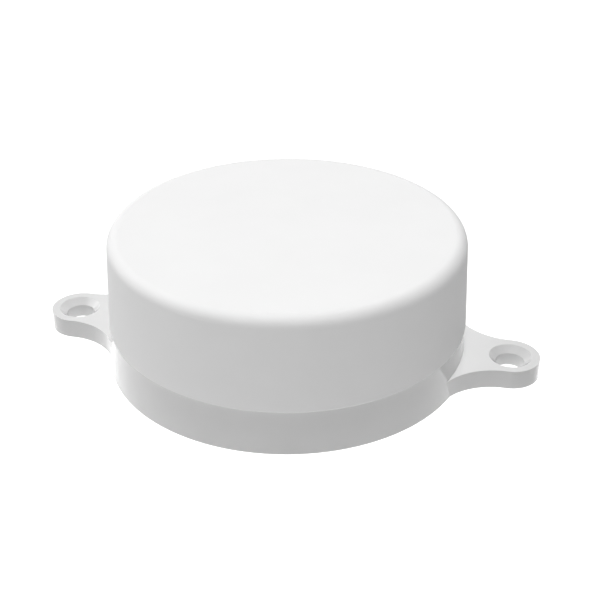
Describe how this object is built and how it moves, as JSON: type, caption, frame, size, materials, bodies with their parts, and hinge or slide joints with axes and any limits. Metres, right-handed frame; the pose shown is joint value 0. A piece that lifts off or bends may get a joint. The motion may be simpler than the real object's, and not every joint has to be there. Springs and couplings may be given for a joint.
{
  "type": "bluetooth beacon",
  "caption": "Round low wireless beacon with a screw-down cap, a moulded base with screw ears, and a circuit board and battery inside.",
  "frame": {"origin": "centre of the flat underside that goes against the wall", "axes": "+Z away from the wall through the cap, X through the two screw ears"},
  "size_m": [0.0812, 0.0578, 0.022],
  "materials": {
    "base_plastic": "moulded, satin gloss",
    "cap_plastic": "moulded, fine matt texture",
    "seal_rubber": "soft silicone",
    "board_laminate": "solder mask over copper",
    "plated_steel": "bright plating",
    "battery_electrodes": "rolled foil",
    "battery_sleeve": "shrunk film",
    "insulator_fibre": "fibre",
    "holder_plastic": "glass-filled nylon",
    "contact_metal": "nickel-plated spring",
    "module_laminate": "solder mask",
    "shield_metal": "drawn nickel silver",
    "chip_plastic": "moulded epoxy",
    "antenna_ceramic": "fired",
    "solder_tin": "tinned",
    "button_plastic": "moulded",
    "plunger_plastic": "moulded",
    "capacitor_foil_can": "drawn",
    "led_plastic": "moulded",
    "led_lens": "cast",
    "capacitor_ceramic": "fired"
  },
  "bodies": {
    "base": {"base_shell": "base_plastic", "circuit_board": "board_laminate", "board_screws": "plated_steel", "battery_can": "plated_steel", "battery_core": "battery_electrodes", "battery_sleeve": "battery_sleeve", "battery_insulator": "insulator_fibre", "battery_holder": "holder_plastic", "positive_contact": "contact_metal", "negative_contact": "contact_metal", "radio_board": "module_laminate", "radio_shield": "shield_metal", "radio_chip": "chip_plastic", "chip_antenna": "antenna_ceramic", "antenna_terminals": "solder_tin", "button_body": "button_plastic", "button_cover_plate": "plated_steel", "button_terminals": "solder_tin", "capacitor_base": "chip_plastic", "storage_capacitor": "capacitor_foil_can", "timing_crystals": "shield_metal", "motion_sensor": "chip_plastic", "voltage_regulator": "chip_plastic", "regulator_leads": "solder_tin", "status_led": "led_plastic", "led_lens": "led_lens", "chip_capacitors": "capacitor_ceramic", "chip_resistors": "chip_plastic", "chip_terminals": "solder_tin"},
    "seal": {"cap_seal_ring": "seal_rubber"},
    "cap": {"cap_shell": "cap_plastic"},
    "button": {"button_plunger": "plunger_plastic"}
  },
  "joints": [
    {"name": "cap_rise", "type": "slide", "parent": "base", "child": "seal", "axis": [0, 0, 1], "range_m": [0, 0.016]},
    {"name": "cap_turn", "type": "hinge", "parent": "seal", "child": "cap", "pos_m": [0, 0, 0.007], "axis": [0, 0, 1], "range_deg": [0, 360]},
    {"name": "button_press", "type": "slide", "parent": "base", "child": "button", "axis": [0, 0, -1], "range_m": [0, 0.00025], "stiffness_N_per_m": 6400}
  ],
  "couplings": [
    {"joint": "cap_rise", "follows": "cap_turn", "m_per_rad": 0.0025465}
  ]
}
